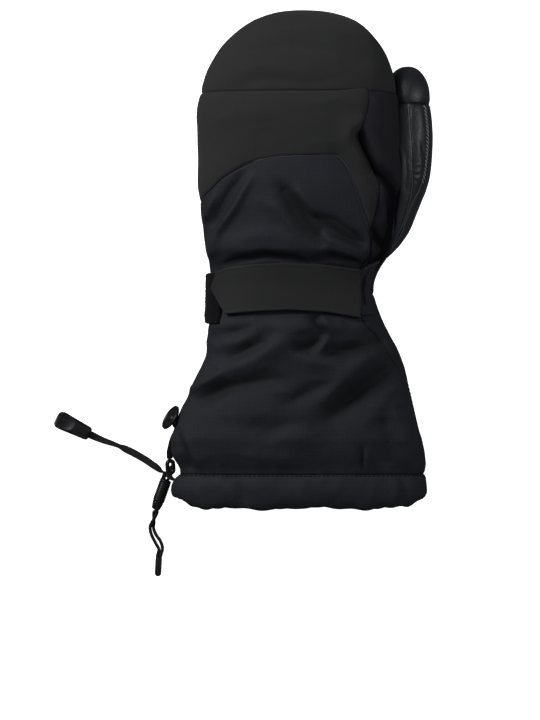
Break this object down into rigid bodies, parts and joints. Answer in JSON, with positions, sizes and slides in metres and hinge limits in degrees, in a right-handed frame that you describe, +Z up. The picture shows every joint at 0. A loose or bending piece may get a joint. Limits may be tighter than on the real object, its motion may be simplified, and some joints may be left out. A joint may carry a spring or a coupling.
{
  "type": "ski mitten",
  "caption": "Insulated left-hand ski mitten with a long gauntlet, a hook-and-loop wrist strap and a hem drawcord with a barrel lock.",
  "frame": {"origin": "under the middle of the mitten with its cord lock, on the surface it lies on", "axes": "+X to the thumb side, +Y from the hem to the fingertips, +Z up through the back of the hand"},
  "size_m": [0.247, 0.367, 0.0622],
  "materials": {
    "ripstop": "matte ripstop nylon",
    "softshell": "matte smooth softshell",
    "leather": "semi-gloss goat leather",
    "elastic": "woven elastic",
    "membrane": "thin laminated film",
    "wadding": "lofted fibre",
    "lining": "brushed tricot",
    "webbing": "woven tape",
    "loop_pile": "loop pile",
    "strap_face": "smooth coated strap",
    "hook_face": "moulded hooks",
    "moulded_plastic": "matte moulded",
    "stiffener": "fibre sheet",
    "elastic_cord": "braided cord",
    "spring_steel": "drawn wire",
    "soft_rubber": "matte rubber"
  },
  "bodies": {
    "shell": {"gauntlet_back_panel": "ripstop", "gauntlet_side_panel": "ripstop", "gauntlet_palm_panel": "ripstop", "hem_channel": "ripstop", "wrist_back_panel": "ripstop", "hand_back_panel": "softshell", "index_gusset": "ripstop", "palm_panel": "leather", "palm_patch": "leather", "fingertip_cap": "softshell", "thumb_gusset": "leather", "thumb_back": "leather", "thumb_front": "leather", "thumb_tip": "leather", "wrist_elastic": "elastic", "insert_hand": "membrane", "insert_thumb": "membrane", "insulation_hand": "wadding", "insulation_thumb": "wadding", "lining_hand": "lining", "lining_thumb": "lining", "gauntlet_lining": "lining", "lining_binding": "webbing", "strap_loop_patch": "loop_pile", "strap_anchor": "webbing", "keeper_button": "moulded_plastic", "keeper_post": "moulded_plastic", "keeper_backing": "stiffener", "lock_anchor_tab": "webbing", "anchor_ring": "moulded_plastic", "hem_drawcord": "elastic_cord"},
    "strap": {"wrist_strap": "strap_face", "strap_hook_pad": "hook_face"},
    "lock": {"cord_link_upper": "elastic_cord", "cord_link_lower": "elastic_cord", "lock_housing": "moulded_plastic", "lock_end_cap": "moulded_plastic", "lock_spring": "spring_steel"},
    "jaw": {"release_jaw": "moulded_plastic"},
    "pull": {"pull_tape": "webbing", "rubber_pull": "soft_rubber"},
    "tails": {"cord_tail_a": "elastic_cord", "cord_tail_b": "elastic_cord", "tail_sleeve": "soft_rubber"}
  },
  "joints": [
    {"name": "strap_peel", "type": "hinge", "parent": "shell", "child": "strap", "pos_m": [0.0451, -0.0187, 0.052], "axis": [0, 1, 0], "range_deg": [0, 115]},
    {"name": "lock_swing", "type": "hinge", "parent": "shell", "child": "lock", "pos_m": [-0.0765, -0.1411, 0.0222], "axis": [0, 0, 1], "range_deg": [-20, 8]},
    {"name": "jaw_release", "type": "slide", "parent": "lock", "child": "jaw", "axis": [0.3379, 0.9378, 0.08], "range_m": [0, 0.002], "stiffness_N_per_m": 800, "springref_m": -0.002, "deforming": ["lock_spring"]},
    {"name": "pull_swing", "type": "hinge", "parent": "jaw", "child": "pull", "pos_m": [-0.08238, -0.13813, 0.00586], "axis": [-0.0271, -0.0752, 0.9968], "range_deg": [-10, 40]},
    {"name": "cord_draw", "type": "slide", "parent": "lock", "child": "tails", "axis": [-0.3379, -0.9378, -0.08], "range_m": [0, 0.01]}
  ]
}
